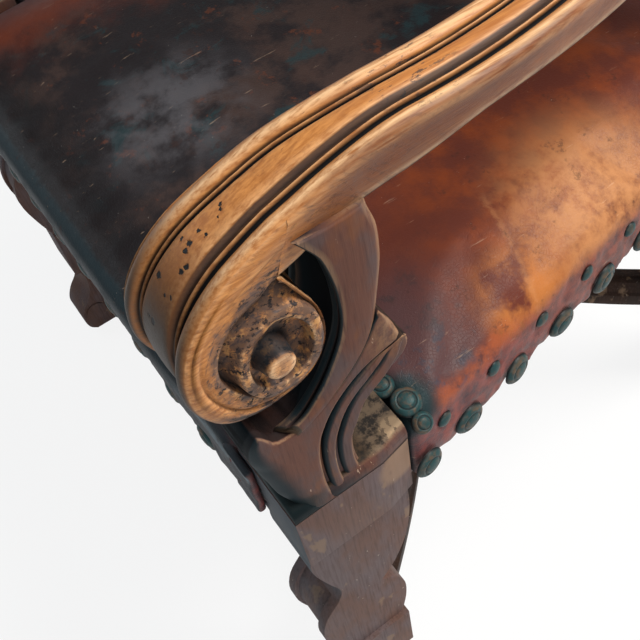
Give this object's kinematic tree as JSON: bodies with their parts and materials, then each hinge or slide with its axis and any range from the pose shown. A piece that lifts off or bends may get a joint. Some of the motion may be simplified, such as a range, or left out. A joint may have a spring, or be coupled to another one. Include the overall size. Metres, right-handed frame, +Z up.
{
  "type": "open armchair",
  "caption": "Open armchair in carved wood with reeded arms ending in volutes on double-scroll supports, leather seat and back fixed with domed nails, and a crossed stretcher.",
  "frame": {"origin": "middle of the chair's footprint on the floor", "axes": "+X to the right as seen from the front, -Y to the front, +Z up"},
  "size_m": [0.655, 0.6122, 1.12],
  "materials": {
    "frame_wood": "dark waxed hardwood, worn and dusty on the edges",
    "support_wood": "red-brown waxed hardwood, satin, darker in the hollows",
    "arm_wood": "honey-brown hardwood worn light along the crests, dark in the grooves",
    "inner_wood": "bare softwood and beech, unfinished",
    "leather": "old saddle-brown leather, dark and mottled near the front, satin",
    "nail_brass": "domed nails with a grey-green patina",
    "webbing": "woven jute",
    "hessian": "coarse jute cloth",
    "stuffing": "stitched horsehair and fibre"
  },
  "bodies": {
    "root": {"front_leg_right": "frame_wood", "front_leg_left": "frame_wood", "rear_post_right": "frame_wood", "rear_post_left": "frame_wood", "front_seat_rail": "inner_wood", "rear_seat_rail": "inner_wood", "side_seat_rail_right": "inner_wood", "side_seat_rail_left": "inner_wood", "corner_blocks": "inner_wood", "stretcher_front_right": "frame_wood", "stretcher_front_left": "frame_wood", "stretcher_rear_right": "frame_wood", "stretcher_rear_left": "frame_wood", "stretcher_boss": "frame_wood", "arm_support_right": "support_wood", "arm_support_left": "support_wood", "arm_right": "arm_wood", "arm_left": "arm_wood", "support_dowels": "inner_wood", "arm_dowels": "inner_wood", "stretcher_dowels": "inner_wood", "rail_pegs": "inner_wood", "back_top_rail": "frame_wood", "back_bottom_rail": "frame_wood", "seat_webbing": "webbing", "seat_hessian": "hessian", "seat_stuffing": "stuffing", "seat_cover": "leather", "back_webbing": "webbing", "back_stuffing": "stuffing", "back_cover_front": "leather", "back_cover_rear": "leather", "seat_nails_large": "nail_brass", "seat_nails_small": "nail_brass", "back_nails_large": "nail_brass", "back_nails_small": "nail_brass", "rear_nails_small": "nail_brass"}
  },
  "joints": []
}
